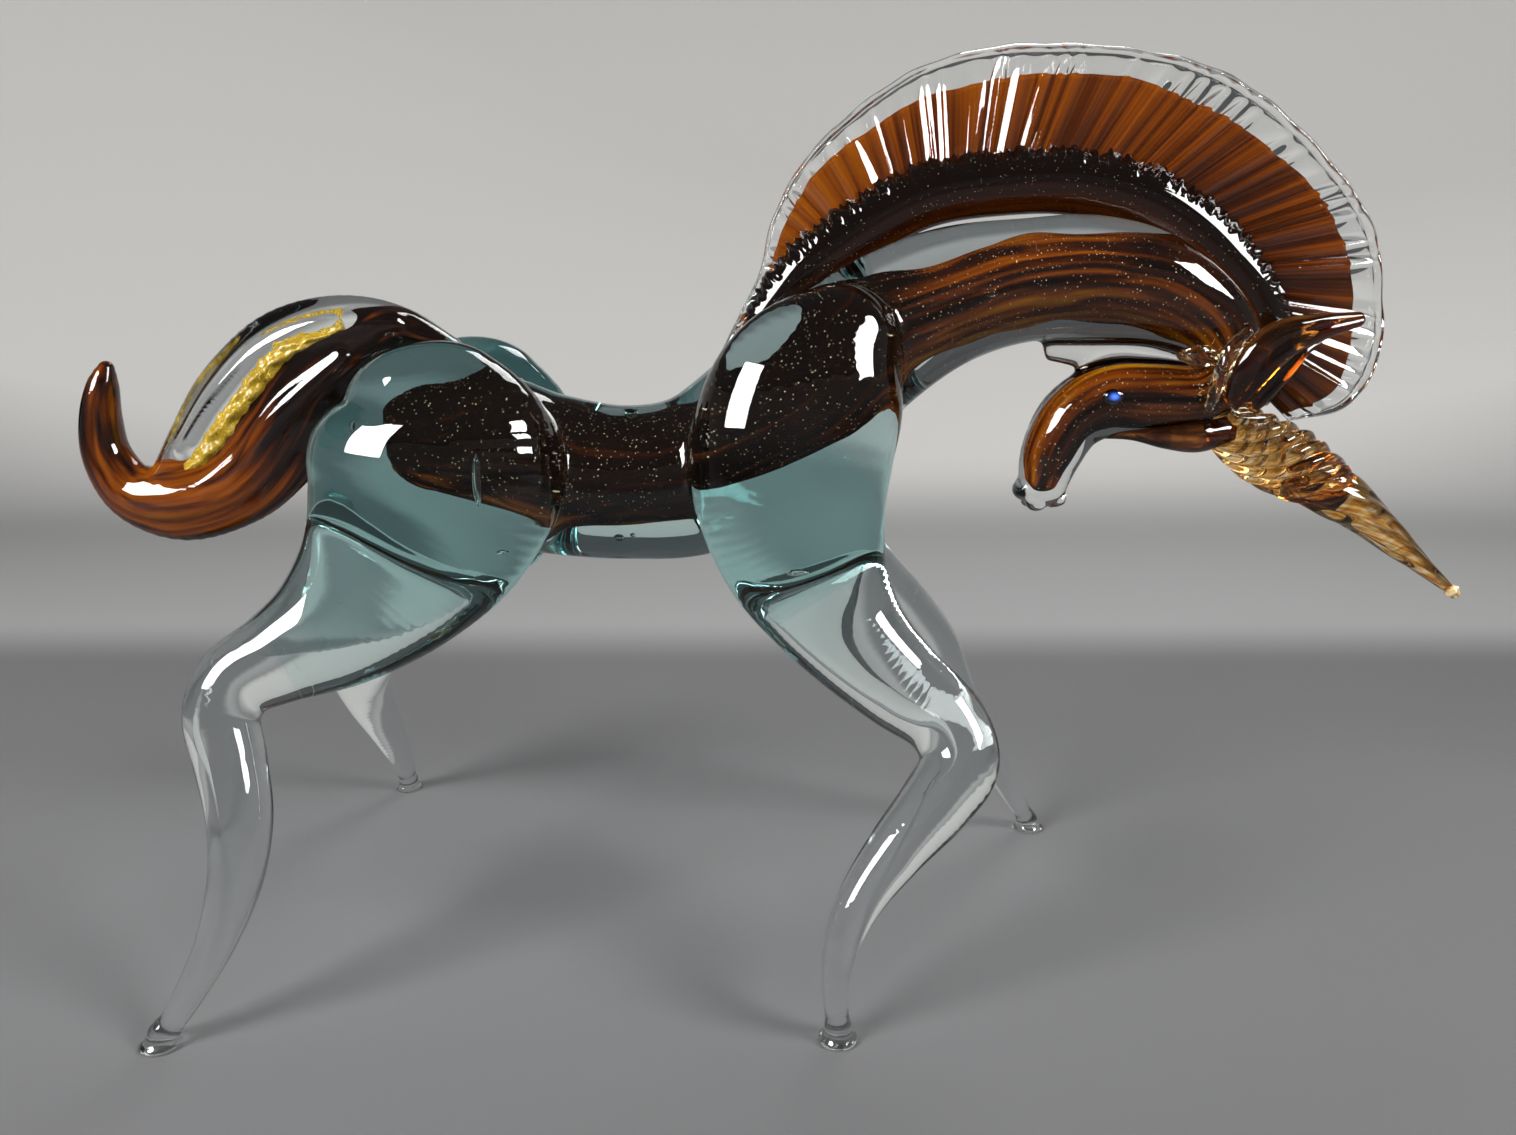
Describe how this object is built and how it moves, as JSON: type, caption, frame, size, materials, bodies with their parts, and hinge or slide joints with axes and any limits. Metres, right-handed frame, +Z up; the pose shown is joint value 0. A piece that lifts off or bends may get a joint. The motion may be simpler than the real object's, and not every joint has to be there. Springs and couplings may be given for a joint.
{
  "type": "art glass unicorn figurine",
  "caption": "Hot-sculpted solid glass unicorn on splayed legs, arched neck with a combed amber fin mane, tucked head, twisted horn and curled tail; a display ornament.",
  "frame": {"origin": "under the middle of the whole figurine's box, on the plane of the feet", "axes": "+X from the tail towards the horn, +Y to the animal's left side, +Z up"},
  "size_m": [0.2954, 0.126, 0.186],
  "materials": {
    "aqua_glass": "fire-polished soda glass with a pale aqua tint that deepens with thickness",
    "clear_glass": "fire-polished clear glass with a faint aqua tint and fine bubbles",
    "amber_glass": "fire-polished streaky amber-brown glass",
    "umber_glass": "near-black brown glass with fine light specks",
    "gold_glass": "fire-polished golden-yellow glass",
    "blue_glass": "small opaque blue glass dot"
  },
  "bodies": {
    "root": {"barrel_core": "umber_glass", "neck_core": "amber_glass", "head_core": "amber_glass", "barrel_casing": "aqua_glass", "neck_casing": "clear_glass", "head_casing": "clear_glass", "right_hind_foot": "clear_glass", "right_haunch": "aqua_glass", "right_hind_leg": "clear_glass", "left_hind_foot": "clear_glass", "left_haunch": "aqua_glass", "left_hind_leg": "clear_glass", "right_fore_foot": "clear_glass", "right_shoulder": "aqua_glass", "right_foreleg": "clear_glass", "left_fore_foot": "clear_glass", "left_shoulder": "aqua_glass", "left_foreleg": "clear_glass", "tail_crest": "gold_glass", "tail_plume": "amber_glass", "tail_curl": "amber_glass", "mane_rope": "umber_glass", "horn_collar": "amber_glass", "horn_spike": "amber_glass", "horn_tip": "gold_glass", "horn_trail": "umber_glass", "right_ear": "amber_glass", "left_ear": "amber_glass", "forelock": "amber_glass", "throat_bead": "gold_glass", "throat_web": "clear_glass", "right_eye": "blue_glass", "left_eye": "blue_glass", "mane_amber": "amber_glass", "mane_fin": "clear_glass"}
  },
  "joints": []
}
